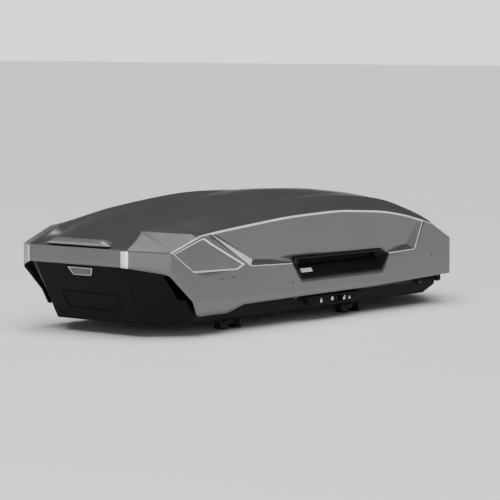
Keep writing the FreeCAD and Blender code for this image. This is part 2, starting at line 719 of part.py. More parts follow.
def clamp(x_key, side, name):
    """One crossbar clamp: a saddle under the floor, a knob inside and two jaws.  Returns pad and plate."""
    x, y = D[x_key], D["clamp_y"] * side
    top = D["tub_wall"] + D["rail_high"]
    half = D["bar_wide"] / 2
    block = box(x - half - 16, y - 26, -14, D["bar_wide"] + 32, 52, 14)
    wells = [box(x + start, y - D["jaw_wide"] / 2 - 0.4, -15, 17, D["jaw_wide"] + 0.8, 16)
             for start in (-half - 17, half)]
    seat = rod(x, y, -20, D["spindle_r"] + 1, 40)
    pins = [rod(x + at, y - 24, D["jaw_pin_z"], 3, 48, "y") for at in (-half - 8, half + 8)]
    node("clamp_saddle_" + name, fuse([cut(block, seat, *wells)] + pins))
    knob = [rod(x, y, top + 10.5, D["knob_r"] - 6, D["knob_high"])]
    for i in range(6):
        angle = math.radians(60 * i)
        lobe_x = x + (D["knob_r"] - 7) * math.cos(angle)
        lobe_y = y + (D["knob_r"] - 7) * math.sin(angle)
        knob.append(rod(lobe_x, lobe_y, top + 10.5, 7, D["knob_high"] - 3))
    knob.append(rod(x, y, -12, D["spindle_r"], top + 25))
    node("clamp_knob_" + name, fuse(knob))
    for end, word in ((-1, "rear"), (1, "front")):
        node("jaw_%s_%s" % (name, word), jaw(x, y, end))
    rubber = cut(box(x - half, y - 26, D["saddle_z"], D["bar_wide"], 52, 4),
                 rod(x, y, -20, D["spindle_r"] + 1, 8))
    plate = cut(box(x - 45, y - 20, top, 90, 40, 10), rod(x, y, top - 1, D["spindle_r"] + 0.1, 20))
    return rubber, plate


def jaw(x, y, end):
    """A steel claw that turns on a cross pin in the saddle and reaches under the crossbar."""
    pin_x = x + (D["bar_wide"] / 2 + 8) * end
    pin_z = D["jaw_pin_z"]
    low = D["saddle_z"] - D["bar_deep"] - 4
    side = [(-3, pin_z + 4.8), (-3, low + 9), (-30, low + 6), (-30, low), (1, low), (9, low + 8),
            (9, pin_z - 1), (5, pin_z + 4.8)]
    outline = [(pin_x + out * end, z) for out, z in side]
    body = pad("XZ", [outline], D["jaw_wide"], -y - D["jaw_wide"] / 2)
    return circle_pocket(body, "XZ", (pin_x, pin_z), 3.1, 4000)


# ---------------------------------------------------------------- build

lid_tool, hollow = lid_shell()
tub_tool = tub_shell()
floor_rails()
rail_rivets()
floor_mat()
straps()
badge()
lock(-1, "right")
lock(1, "left")
for bow_name, bow_key in BOWS:
    bow(bow_name, bow_key)
pivots(tub_tool, lid_tool)
strut("a", "strut_a_y", "strut_a_z", "strut_a_end_y", "strut_a_end_z", -1)
strut("b", "strut_b_y", "strut_b_z", "strut_b_end_y", "strut_b_end_z", 1)
strut_brackets(hollow)
handle(-1, "right", lid_tool)
handle(1, "left", lid_tool)
lid_rails()
rivets()
spoiler()
pads_and_plates = []
for key, end in (("bar_rear_x", "r"), ("bar_front_x", "f")):
    for clamp_side, letter in ((-1, "r"), (1, "l")):
        pads_and_plates.append(clamp(key, clamp_side, end + letter))
node("crossbar_pads", group([rubber for rubber, _ in pads_and_plates]))
node("clamp_plates", group([plate for _, plate in pads_and_plates]))

DOC.recompute()
for piece in NODES:
    piece.setExpression("Placement.Base.z", "Dims.lift + %r" % piece.Placement.Base.z)
DOC.recompute()
broken = [o.Label for o in DOC.Objects if {"Invalid", "Error"} & set(o.State)]
if broken:
    raise RuntimeError("objects that failed: %s" % broken)
os.makedirs("parts", exist_ok=True)
for piece in NODES:
    solid = piece.Shape
    if solid.isNull() or not solid.isValid() or not solid.Solids:
        raise RuntimeError("%s has no valid solid" % piece.Label)
    solid.exportStep("parts/%s.step" % piece.Label)
    print("%-24s %2d solids %9.1f cm3" % (piece.Label, len(solid.Solids), solid.Volume / 1000))
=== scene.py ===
import json
import math

import bmesh
import bpy
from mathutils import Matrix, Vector
from mathutils.geometry import delaunay_2d_cdt

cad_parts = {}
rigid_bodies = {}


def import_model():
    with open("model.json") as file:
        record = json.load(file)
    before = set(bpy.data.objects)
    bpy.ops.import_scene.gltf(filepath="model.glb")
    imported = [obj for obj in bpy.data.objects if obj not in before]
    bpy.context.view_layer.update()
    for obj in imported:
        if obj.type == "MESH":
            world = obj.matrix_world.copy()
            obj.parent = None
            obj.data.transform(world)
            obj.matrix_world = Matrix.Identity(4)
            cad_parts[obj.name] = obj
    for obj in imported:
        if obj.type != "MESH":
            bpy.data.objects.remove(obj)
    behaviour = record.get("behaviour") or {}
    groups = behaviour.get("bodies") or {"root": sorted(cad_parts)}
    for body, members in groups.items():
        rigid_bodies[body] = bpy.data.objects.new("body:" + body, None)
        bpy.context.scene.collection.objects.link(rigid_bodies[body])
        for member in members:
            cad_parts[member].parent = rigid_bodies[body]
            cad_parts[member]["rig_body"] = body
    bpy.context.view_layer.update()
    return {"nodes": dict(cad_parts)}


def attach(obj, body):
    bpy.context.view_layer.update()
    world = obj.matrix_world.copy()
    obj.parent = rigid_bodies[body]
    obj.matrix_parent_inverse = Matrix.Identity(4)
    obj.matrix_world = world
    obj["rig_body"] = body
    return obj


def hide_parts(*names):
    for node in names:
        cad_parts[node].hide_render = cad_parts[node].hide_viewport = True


# A roof cargo box: faceted metallic lid, grained black tub, clamps, locks, lift bows and struts.
# Shapes are given in millimetres, with heights above the tub's underside, and turned into metres by at().

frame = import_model()
NODES = frame["nodes"]
LIFT = 48


def at(x, y, z):
    return Vector((x, y, z + LIFT)) / 1000


# ---------------------------------------------------------------- materials

def material(name, metallic=0.0, roughness=0.5, coat=0.0, sheen=0.0, specular=0.5):
    mat = bpy.data.materials.new(name)
    mat.use_nodes = True
    shader = mat.node_tree.nodes["Principled BSDF"]
    shader.inputs["Metallic"].default_value = metallic
    shader.inputs["Roughness"].default_value = roughness
    shader.inputs["Coat Weight"].default_value = coat
    shader.inputs["Coat Roughness"].default_value = 0.12
    shader.inputs["Sheen Weight"].default_value = sheen
    shader.inputs["Specular IOR Level"].default_value = specular
    return mat, mat.node_tree, shader


def noise(tree, scale, detail=3.0, stretch=(1, 1, 1)):
    """Noise in object space; scale is in features per metre."""
    coords = tree.nodes.new("ShaderNodeTexCoord")
    mapping = tree.nodes.new("ShaderNodeMapping")
    mapping.inputs["Scale"].default_value = stretch
    tree.links.new(coords.outputs["Object"], mapping.inputs["Vector"])
    texture = tree.nodes.new("ShaderNodeTexNoise")
    texture.inputs["Scale"].default_value = scale
    texture.inputs["Detail"].default_value = detail
    tree.links.new(mapping.outputs["Vector"], texture.inputs["Vector"])
    return texture.outputs["Fac"]


def ramp(tree, fac, stops):
    node = tree.nodes.new("ShaderNodeValToRGB")
    elements = node.color_ramp.elements
    while len(elements) < len(stops):
        elements.new(0.5)
    for element, (position, color) in zip(elements, stops):
        element.position = position
        element.color = (*color, 1)
    tree.links.new(fac, node.inputs["Fac"])
    return node.outputs["Color"]


def tint(color, factor):
    return tuple(min(1.0, c * factor) for c in color)


def roughness_from(tree, shader, fac, low, high):
    rough = tree.nodes.new("ShaderNodeMapRange")
    rough.inputs["To Min"].default_value = low
    rough.inputs["To Max"].default_value = high
    tree.links.new(fac, rough.inputs["Value"])
    tree.links.new(rough.outputs["Result"], shader.inputs["Roughness"])


def bump(tree, shader, fac, strength, distance):
    node = tree.nodes.new("ShaderNodeBump")
    node.inputs["Strength"].default_value = strength
    node.inputs["Distance"].default_value = distance
    tree.links.new(fac, node.inputs["Height"])
    tree.links.new(node.outputs["Normal"], shader.inputs["Normal"])


def metallic_paint(name, color, roughness, metallic=0.72):
    """Satin metallic finish: fine flake, a little cloudiness and orange peel under a thin coat."""
    mat, tree, shader = material(name, metallic=metallic, roughness=roughness, coat=0.12)
    flake = noise(tree, 900, 1.0)
    cloud = noise(tree, 5, 4.0)
    mix = tree.nodes.new("ShaderNodeMix")
    mix.data_type = "RGBA"
    mix.blend_type = "MULTIPLY"
    mix.inputs["Factor"].default_value = 1.0
    tree.links.new(ramp(tree, flake, [(0.3, tint(color, 0.86)), (0.7, tint(color, 1.14))]), mix.inputs["A"])
    tree.links.new(ramp(tree, cloud, [(0.3, (0.93, 0.93, 0.93)), (0.7, (1.0, 1.0, 1.0))]), mix.inputs["B"])
    tree.links.new(mix.outputs["Result"], shader.inputs["Base Color"])
    roughness_from(tree, shader, cloud, roughness - 0.03, roughness + 0.05)
    bump(tree, shader, noise(tree, 260, 2.0), 0.05, 0.0006)
    return mat


def grained_plastic(name, color, roughness, grain, scale):
    """Moulded plastic with a fine leathery grain."""
    mat, tree, shader = material(name, roughness=roughness, specular=0.11)
    coarse = noise(tree, 9, 4.0)
    tree.links.new(ramp(tree, coarse, [(0.3, tint(color, 0.8)), (0.7, tint(color, 1.25))]),
                   shader.inputs["Base Color"])
    roughness_from(tree, shader, coarse, roughness - 0.06, roughness + 0.08)
    bump(tree, shader, noise(tree, scale, 4.0), grain, 0.0005)
    return mat


def worked_metal(name, color, roughness):
    """Plated or brushed metal with fine streaks."""
    mat, tree, shader = material(name, metallic=1.0, roughness=roughness)
    streaks = noise(tree, 60, 5.0, (1, 40, 40))
    blotch = noise(tree, 35, 3.0)
    tree.links.new(ramp(tree, blotch, [(0.3, tint(color, 0.82)), (0.7, tint(color, 1.1))]),
                   shader.inputs["Base Color"])
    roughness_from(tree, shader, streaks, roughness - 0.08, roughness + 0.12)
    bump(tree, shader, streaks, 0.06, 0.0003)
    return mat


def woven(name, color, threads, depth):
    """Webbing: two crossed sets of threads."""
    mat, tree, shader = material(name, roughness=0.85, sheen=0.4)
    coords = tree.nodes.new("ShaderNodeTexCoord")
    height = None
    for turn in (0, 90):
        mapping = tree.nodes.new("ShaderNodeMapping")
        mapping.inputs["Rotation"].default_value = (0, 0, math.radians(turn))
        wave = tree.nodes.new("ShaderNodeTexWave")
        wave.inputs["Scale"].default_value = threads
        wave.inputs["Distortion"].default_value = 0.4
        tree.links.new(coords.outputs["Object"], mapping.inputs["Vector"])
        tree.links.new(mapping.outputs["Vector"], wave.inputs["Vector"])
        if height is None:
            height = wave.outputs["Fac"]
        else:
            both = tree.nodes.new("ShaderNodeMath")
            both.operation = "MULTIPLY"
            tree.links.new(height, both.inputs[0])
            tree.links.new(wave.outputs["Fac"], both.inputs[1])
            height = both.outputs["Value"]
    tree.links.new(ramp(tree, height, [(0.0, tint(color, 0.6)), (1.0, tint(color, 1.5))]),
                   shader.inputs["Base Color"])
    bump(tree, shader, height, 0.5, depth)
    return mat


def felted(name, color):
    """Felt: matted fibres in two sizes."""
    mat, tree, shader = material(name, roughness=0.95, sheen=0.5)
    fibres = noise(tree, 420, 6.0, (1, 2.6, 1))
    tree.links.new(ramp(tree, fibres, [(0.3, tint(color, 0.55)), (0.7, tint(color, 1.6))]),
                   shader.inputs["Base Color"])
    bump(tree, shader, fibres, 0.6, 0.0012)
    return mat


LID = metallic_paint("lid_metallic", (0.155, 0.155, 0.15), 0.36)
# Painted highlight: a near-white, less metallic copy of the lid paint, laid on the narrow chamfers and
# bevels so they look as if they catch the light.
LID_PAINTED_HIGHLIGHT = metallic_paint("lid_painted_highlight", (0.88, 0.88, 0.87), 0.3, 0.35)
SPOILER = metallic_paint("spoiler_metallic", (0.36, 0.36, 0.36), 0.34)
TUB = grained_plastic("tub_plastic", (0.005, 0.005, 0.0053), 0.64, 0.3, 500)
LINING = grained_plastic("lid_inside", (0.02, 0.02, 0.021), 0.6, 0.2, 500)
# Painted shade: a darker, rougher copy of the black plastic for the grip hollows, standing in for the shade
# inside them.
GRIP_PAINTED_SHADE = grained_plastic("grip_hollow_painted_shade", (0.004, 0.004, 0.004), 0.8, 0.1, 700)
BLACK = grained_plastic("satin_black_plastic", (0.007, 0.007, 0.0075), 0.42, 0.12, 900)
MARK = grained_plastic("white_marks", (0.62, 0.62, 0.6), 0.5, 0.05, 900)
RUBBER = grained_plastic("rubber_pad", (0.016, 0.016, 0.016), 0.8, 0.4, 400)
ZINC = worked_metal("zinc_plate", (0.55, 0.55, 0.53), 0.34)
STEEL = worked_metal("bright_steel", (0.66, 0.66, 0.66), 0.2)
BLACK_STEEL = worked_metal("black_coated_steel", (0.035, 0.035, 0.036), 0.4)
BADGE = worked_metal("badge_metal", (0.5, 0.5, 0.5), 0.28)
BADGE_FIELD = worked_metal("badge_field", (0.12, 0.12, 0.12), 0.38)
WEBBING = woven("strap_webbing", (0.03, 0.03, 0.033), 260, 0.0006)
FELT = felted("floor_felt", (0.05, 0.05, 0.054))


# ---------------------------------------------------------------- mesh helpers

def finish_mesh(name, bm, mats, body, angle=28, replaced=()):
    """Makes an object of the mesh, smooth below the crease angle, and hangs it on a CAD body."""
    bmesh.ops.remove_doubles(bm, verts=bm.verts, dist=0.00004)
    bmesh.ops.dissolve_degenerate(bm, edges=bm.edges, dist=0.00002)
    mesh = bpy.data.meshes.new(name)
    bm.to_mesh(mesh)
    bm.free()
    for mat in mats:
        mesh.materials.append(mat)
    obj = bpy.data.objects.new(name, mesh)
    bpy.context.scene.collection.objects.link(obj)
    mesh.shade_smooth()
    mesh.set_sharp_from_angle(angle=math.radians(angle))
    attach(obj, body)
    if replaced:
        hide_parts(*replaced)
    return obj


def add_grid(bm, rows, mat=0):
    """Faces between rows of points that all have the same length."""
    grid = [[bm.verts.new(p) for p in row] for row in rows]
    for i in range(len(grid) - 1):
        for j in range(len(grid[i]) - 1):
            face = bm.faces.new([grid[i][j], grid[i + 1][j], grid[i + 1][j + 1], grid[i][j + 1]])
            face.material_index = mat(i, j) if callable(mat) else mat
    return grid


def add_prism(bm, outline, near, far):
    """A closed solid between two copies of an outline; near and far turn a 2-D corner into a point."""
    rings = [[bm.verts.new(end(a, b)) for a, b in outline] for end in (near, far)]
    faces = [bm.faces.new(rings[0]), bm.faces.new(list(reversed(rings[1])))]
    n = len(outline)
    for i in range(n):
        faces.append(bm.faces.new([rings[0][i], rings[1][i], rings[1][(i + 1) % n], rings[0][(i + 1) % n]]))
    bmesh.ops.recalc_face_normals(bm, faces=faces)


def inset(outline, amount):
    """An outline drawn in by amount on every side."""
    points = [Vector(p) for p in outline]
    area = sum(a.x * b.y - b.x * a.y for a, b in zip(points, points[1:] + points[:1]))
    sign = 1 if area > 0 else -1
    out = []
    for i, here in enumerate(points):
        before, after = points[i - 1], points[(i + 1) % len(points)]
        a, b = (here - before).normalized(), (after - here).normalized()
        na, nb = Vector((-a.y, a.x)) * sign, Vector((-b.y, b.x)) * sign
        out.append(here + (na + nb) * (amount / max(0.2, 1 + na.dot(nb))))
    return [(p.x, p.y) for p in out]


def inside(outline, x, y):
    hit = False
    for (x0, y0), (x1, y1) in zip(outline, outline[1:] + outline[:1]):
        if (y0 > y) != (y1 > y) and x < (x1 - x0) * (y - y0) / (y1 - y0) + x0:
            hit = not hit
    return hit


def gap_to(outline, x, y):
    """Distance from a point to an outline."""
    best = 1e9
    p = Vector((x, y))
    for a, b in zip(outline, outline[1:] + outline[:1]):
        a, b = Vector(a), Vector(b)
        along = b - a
        t = max(0, min(1, (p - a).dot(along) / max(1e-9, along.length_squared)))
        best = min(best, (a + along * t - p).length)
    return best


def straight(points, x):
    for (x0, v0), (x1, v1) in zip(points, points[1:]):
        if x <= x1:
            break
    t = min(1.0, max(0.0, (x - x0) / (x1 - x0)))
    return v0 + (v1 - v0) * t


def smooth(points, x):
    n = len(points)
    x = min(points[-1][0], max(points[0][0], x))
    i = 0
    while i < n - 2 and x > points[i + 1][0]:
        i += 1

    def slope(k):
        a, b = points[max(0, k - 1)], points[min(n - 1, k + 1)]
        return (b[1] - a[1]) / (b[0] - a[0])

    (x0, v0), (x1, v1) = points[i], points[i + 1]
    w = x1 - x0
    t = (x - x0) / w
    return ((2 * t ** 3 - 3 * t ** 2 + 1) * v0 + (t ** 3 - 2 * t ** 2 + t) * w * slope(i)
            + (3 * t ** 2 - 2 * t ** 3) * v1 + (t ** 3 - t ** 2) * w * slope(i + 1))


def fade(a, b, x):
    """0 at a, 1 at b, eased."""
    t = min(1.0, max(0.0, (x - a) / (b - a)))
    return t * t * (3 - 2 * t)


# ---------------------------------------------------------------- the lid's outside

REAR, NOSE = -950, 950
HALF = [(REAR, 208), (-936, 228), (-845, 337), (-706, 351), (-640, 352), (738, 352), (938, 172), (NOSE, 150)]
SHOULDER_ENDS = [(REAR, 258), (-936, 256), (-845, 249), (-706, 298)]
SHOULDER = [(-706, 298), (-611, 308), (-408, 324), (-233, 336), (-56, 341), (65, 342), (160, 337),
            (324, 325), (454, 305), (552, 283), (628, 263)]
SHOULDER_NOSE = [(628, 263), (738, 207), (938, 189), (NOSE, 186)]
CREST_Y = [(REAR, 204), (-936, 224), (-827, 190), (-670, 216), (-519, 236), (-279, 254), (57, 262),
           (335, 264), (525, 276), (645, 296), (738, 290), (938, 120), (NOSE, 105)]
CREST_Z_TAIL = [(REAR, 258), (-936, 256.5), (-827, 312)]
CREST_Z = [(-827, 312), (-670, 337), (-519, 357), (-279, 379), (-95, 391), (57, 391), (180, 387), (335, 373),
           (430, 358), (525, 331), (645, 284), (738, 229), (938, 192), (NOSE, 188)]
VALLEY_Y = [(REAR, 160), (-745, 168), (525, 172), (738, 165), (938, 70), (NOSE, 60)]
VALLEY_Z = [(-745, 306), (-646, 322), (-477, 346), (-209, 373), (-57, 385), (119, 394), (303, 386),
            (526, 353), (645, 321), (738, 282), (850, 236), (NOSE, 190)]
CENTRE_Z = [(-745, 307), (-646, 324), (-477, 350), (-209, 381), (-57, 395), (100, 403), (303, 396),
            (526, 369), (645, 338), (738, 302), (850, 251), (NOSE, 195)]
EDGE_Z = [(REAR, 200), (-856, 176), (-845, 167), (-745, 78), (-719, 27), (-565, 27), (-480, 50), (-150, 53),
          (250, 56), (738, 70), (800, 82), (NOSE, 100)]
# The shoulder chamfer's brightness is a painted highlight: its faces take the lid's painted-highlight
# material.
SHARP = 3.6                # width of the shoulder's bright narrow chamfer, along each face


def shoulder_z(x):
    if x < -706:
        return straight(SHOULDER_ENDS, x)
    return smooth(SHOULDER, x) if x < 628 else straight(SHOULDER_NOSE, x)


def skirt_z(x):
    """Crease above the turned-under lip."""
    return straight([(-745, 78), (738, 73)], x)


def side_y(x, z):
    """Half width of the lid's wall: it leans in a little towards the shoulder."""
    lean = 4.0 * max(0.0, (z - 110) / 230) ** 2 * fade(-845, -650, x) * fade(738, 640, x)
    return straight(HALF, x) - lean


def roof_line(x, tail, table):
    """Height of a roof line: a straight tail slope, then a smooth curve."""
    if x < tail[0]:
        return 258 + (tail[1] - 258) * (x - REAR) / (tail[0] - REAR)
    return smooth(table, x)


def rounded(points, radii, steps):
    out = [points[0]]
    for a, b, c, r in zip(points, points[1:], points[2:], radii):
        r = min(r, 0.45 * (a - b).length, 0.45 * (c - b).length)
        p, q = b + (a - b).normalized() * r, b + (c - b).normalized() * r
        for i in range(steps + 1):
            t = i / steps
            out.append(p * (1 - t) ** 2 + b * (2 * t * (1 - t)) + q * t * t)
    out.append(points[-1])
    return out


def roof_half(x):
    """The roof's outline across the box at x, from the middle to the shoulder, as (y, z) points."""
    top = shoulder_z(x)
    wall = side_y(x, top - SHARP)
    shoulder = Vector((wall - SHARP * 0.9, top))
    crest_z = straight(CREST_Z_TAIL, x) if x < -827 else smooth(CREST_Z, x)
    crest = Vector((straight(CREST_Y, x), crest_z))
    valley = Vector((straight(VALLEY_Y, x), roof_line(x, (-745, 306), VALLEY_Z)))
    centre = Vector((0, roof_line(x, (-745, 307), CENTRE_Z)))
    middle = Vector((valley.x / 2, centre.y - (centre.y - valley.y) * 0.3))
    band = crest.lerp(shoulder, 0.6) + Vector((0, 2.5 * fade(-700, -500, x) * fade(738, 640, x)))
    if x < -827:
        band = crest.lerp(shoulder, 0.25)
    elif x < -660:
        t = (x + 827) / (-722 + 827)
        edge = Vector((190, 312)).lerp(Vector((323, 302.7)), min(1.0, t))
        band = edge.lerp(band, fade(-722, -660, x))
    foot = crest.lerp(valley, 0.42) + Vector((0, -1.2))
    line = rounded([centre, middle, valley, foot, crest, band, shoulder], [60, 30, 16, 8, 6], 4)
    return line, wall, top


def stations():
    marks = {REAR, -936, -827, -845, -745, -722, -706, -687, -660, 628, 645, 738, 938, NOSE}
    for table in (SHOULDER, CREST_Z, CENTRE_Z):
        marks |= {x for x, _ in table}
    x = REAR
    while x < NOSE:
        marks.add(x)
        x += 14
    ordered = sorted(marks)
    kept = [ordered[0]]
    for x in ordered[1:]:
        if x - kept[-1] > 3.5 or x in (-936, -845, -706, 738, 938, NOSE):
            kept.append(x)
    return kept


XS = stations()


def tail_groove(x, y, z):
    """The shallow channel under the spoiler."""
    depth = 7 * fade(-950, -946, x) * fade(-905, -914, x) * fade(152, 138, abs(y))
    return z - depth


def roof_rows():
    rows = []
    for x in XS:
        half, wall, top = roof_half(x)
        right = [(-p.x, p.y) for p in reversed(half[1:])]
        left = [(p.x, p.y) for p in half]
        row = [(-wall, top - SHARP)] + right + left + [(wall, top - SHARP)]
        rows.append([at(x, y, tail_groove(x, y, z)) for y, z in row])
    return rows


HANDLE = [(-218, 170), (-163, 112), (307, 112), (356, 170), (306, 188), (-202, 192)]


def side_outline():
    """The side wall's border in (x, z), from the shoulder's rear end round to the rear lower edge."""
    top = [(x, shoulder_z(x) - SHARP) for x in XS if -845 <= x <= 738]
    front_low, front_top = skirt_z(738), shoulder_z(738) - SHARP
    front = [(738, front_top + (front_low - front_top) * i / 6) for i in range(1, 6)]
    low = [(x, skirt_z(x)) for x in reversed(XS) if -745 <= x <= 738]
    diagonal = [(x, straight(EDGE_Z, x)) for x in reversed(XS) if -845 < x < -745]
    start, end = straight(EDGE_Z, -845), shoulder_z(-845) - SHARP
    rear = [(-845, start + (end - start) * i / 4) for i in range(0, 4)]
    return top, front, low, diagonal, rear


def wing_rings():
    """The large recessed panel: its outer ring, level with the wall, and the ring of its floor."""
    top = [(x, shoulder_z(x) - SHARP) for x in XS if -655 < x < 566]
    outer = top + [(566, shoulder_z(566) - SHARP), (511, 174), HANDLE[3], HANDLE[0], (-446, 178),
                   (-655, shoulder_z(-655) - SHARP)]
    floor_top = [(x, shoulder_z(x) - SHARP - 7) for x in XS if -640 < x < 534]
    inner = floor_top + [(534, shoulder_z(534) - SHARP - 8), (470, 196), HANDLE[4], HANDLE[5], (-426, 199),
                         (-640, shoulder_z(-640) - SHARP - 8)]
    return outer, inner


def wing_depth(x, z):
    top = shoulder_z(x) - SHARP
    return 2.5 + 8.5 * min(1.0, max(0.0, (top - z) / (top - 192)))


DIAMOND = [(-836, 243), (-703, 287), (-687, 287.5), (-651, 268), (-478, 187), (-520, 171), (-741, 176)]


def side_wall(bm, side):
    """One long wall, with its wing panel, diamond panel and handle opening."""
    top, front, low, diagonal, rear = side_outline()
    border = top + front + low + diagonal + rear
    wing_outer, wing_inner = wing_rings()
    diamond_inner = inset(DIAMOND, 4.5)
    points, edges = [], []

    def add_loop(loop, closed=True):
        start = len(points)
        points.extend(Vector(p) for p in loop)
        count = len(loop)
        for i in range(count if closed else count - 1):
            edges.append((start + i, start + (i + 1) % count))

    add_loop(border)
    wing_line = inset(wing_outer, 2.5)
    for loop in (wing_outer, wing_line, wing_inner, DIAMOND, diamond_inner, HANDLE):
        add_loop(loop)
    loops = (border, wing_outer, wing_inner, DIAMOND, diamond_inner, HANDLE)
    x = -838
    while x < 734:
        z = 84
        while z < 340:
            if inside(border, x, z) and not inside(HANDLE, x, z):
                in_ring = (inside(wing_outer, x, z) and not inside(wing_inner, x, z)) or \
                          (inside(DIAMOND, x, z) and not inside(diamond_inner, x, z))
                if not in_ring and min(gap_to(loop, x, z) for loop in loops) > 7:
                    points.append(Vector((x, z)))
            z += 14
        x += 14
    found = delaunay_2d_cdt(points, edges, [], 0, 1e-4)
    verts = []
    for p in found[0]:
        x, z = p
        depth = 0.0
        if gap_to(wing_line, x, z) < 0.2:
            depth = 0.8
        elif inside(wing_inner, x, z) or gap_to(wing_inner, x, z) < 0.2:
            depth = wing_depth(x, z)
        elif inside(diamond_inner, x, z) or gap_to(diamond_inner, x, z) < 0.2:
            depth = 3.2
        verts.append(bm.verts.new(at(x, side * (side_y(x, z) - depth), z)))
    for face in found[2]:
        mid = (found[0][face[0]] + found[0][face[1]] + found[0][face[2]]) / 3
        if not inside(border, *mid) or inside(HANDLE, *mid):
            continue
        made = bm.faces.new([verts[i] for i in face])
        # Faces on the wing's outer line, the wing's rear chamfer and the diamond's border take material 1, a
        # painted highlight.
        on_line = inside(wing_outer, *mid) and not inside(wing_line, *mid)
        on_rear_chamfer = inside(wing_outer, *mid) and not inside(wing_inner, *mid) and mid.x < -424 \
            and mid.y < shoulder_z(mid.x) - SHARP - 9
        on_diamond = inside(DIAMOND, *mid) and not inside(diamond_inner, *mid)
        made.material_index = 1 if on_line or on_rear_chamfer or on_diamond else 0


def lip_depth(x):
    return (skirt_z(x) - straight(EDGE_Z, x)) * 8 / 60


def skirt_lip(bm, side):
    """The lip that turns in under the long wall."""
    rows = []
    for x in XS:
        if -745 <= x <= 738:
            crease, edge = skirt_z(x), straight(EDGE_Z, x)
            y = side_y(x, crease)
            drop = crease - edge
            rows.append([at(x, side * (y - lip_depth(x) * t), crease - drop * t)
                         for t in (0, 0.12, 0.55, 1)])
    add_grid(bm, rows)


def end_wall(bm, xs, side, steps):
    """Upright band round one corner, from the side wall to the end face; its narrow bevel carries a painted
    highlight.
    """
    rows = []
    for x in xs:
        y, high, low = straight(HALF, x), shoulder_z(x) - SHARP, straight(EDGE_Z, x)
        rows.append([at(x, side * y, high + (low - high) * i / steps) for i in range(steps + 1)])
    add_grid(bm, rows, lambda i, j: 1 if xs[i] < -936 else 0)


def end_face(bm, x, steps):
    """The flat end of the lid, in line with the first or last row of the roof."""
    half, wall, top = roof_half(x)
    row = [(-wall, top - SHARP)] + [(-p.x, p.y) for p in reversed(half[1:])] + [(p.x, p.y) for p in half]
    row.append((wall, top - SHARP))
    low = straight(EDGE_Z, x)
    rows = []
    for y, z in row:
        z = tail_groove(x, y, z)
        rows.append([at(x, y, z), at(x, y, top - SHARP - 1)]
                    + [at(x, y, top - SHARP - 1 + (low - top + SHARP + 1) * i / steps)
                       for i in range(1, steps + 1)])
    add_grid(bm, rows)


def chamfered(i, j):
    """The narrow facet that runs along each shoulder; it carries a painted highlight."""
    return 1 if (j == 0 or j == ROW_CELLS - 1) and -845 <= XS[i] < 728 else 0


rows = roof_rows()
ROW_CELLS = len(rows[0]) - 1
lid_mesh = bmesh.new()
add_grid(lid_mesh, rows, chamfered)
for side in (-1, 1):
    side_wall(lid_mesh, side)
    skirt_lip(lid_mesh, side)
    end_wall(lid_mesh, [x for x in XS if x <= -845], side, 4)
    end_wall(lid_mesh, [x for x in XS if x >= 738], side, 6)
end_face(lid_mesh, REAR, 4)
end_face(lid_mesh, NOSE, 6)
bmesh.ops.remove_doubles(lid_mesh, verts=lid_mesh.verts, dist=0.00012)
bmesh.ops.recalc_face_normals(lid_mesh, faces=lid_mesh.faces)
lid = finish_mesh("lid", lid_mesh, [LID, LID_PAINTED_HIGHLIGHT, LINING, LINING], "lid", 11.5, ["lid_shell"])
for edge in lid.data.edges:
    ends = [lid.data.vertices[i].co * 1000 for i in edge.vertices]
    if all(-746 < p.x < 739 and abs(p.y) > 340 and abs(p.z - LIFT - skirt_z(p.x)) < 0.3 for p in ends):
        edge.use_edge_sharp = True
wall = lid.modifiers.new("wall", "SOLIDIFY")
wall.thickness = 0.0034
wall.offset = -1
wall.use_rim = True
wall.material_offset = 2


# ---------------------------------------------------------------- spoiler

def spoiler():
    """A short wing on the tail slope; its ends taper to nothing."""
    section = [(-943, 263.5), (-945.5, 267), (-945, 273), (-941, 279), (-934, 282.5), (-922, 284.5),
               (-908, 284), (-893, 280.5), (-880, 275.5), (-874, 273), (-886, 271), (-904, 268),
               (-922, 265.5), (-936, 263.5)]
    tip = Vector((-933, 264.5))
    bm = bmesh.new()
    rings = []
    half = (35, 70, 98, 106, 115, 126, 138, 147, 150)
    for y in [-v for v in reversed(half)] + [0] + list(half):
        size = 1 - 0.96 * fade(100, 152, abs(y))
        ring = [tip + (Vector(p) - tip) * size for p in section]
        rings.append([at(p.x, y, p.y) for p in ring + ring[:1]])
    grid = add_grid(bm, rings)
    bm.faces.new(grid[0][:-1])
    bm.faces.new(grid[-1][:-1])
    bmesh.ops.remove_doubles(bm, verts=bm.verts, dist=0.00001)
    bmesh.ops.recalc_face_normals(bm, faces=bm.faces)
    finish_mesh("spoiler", bm, [SPOILER], "lid", 24, ["tail_spoiler"])


spoiler()


# ---------------------------------------------------------------- grips in the lid's sides

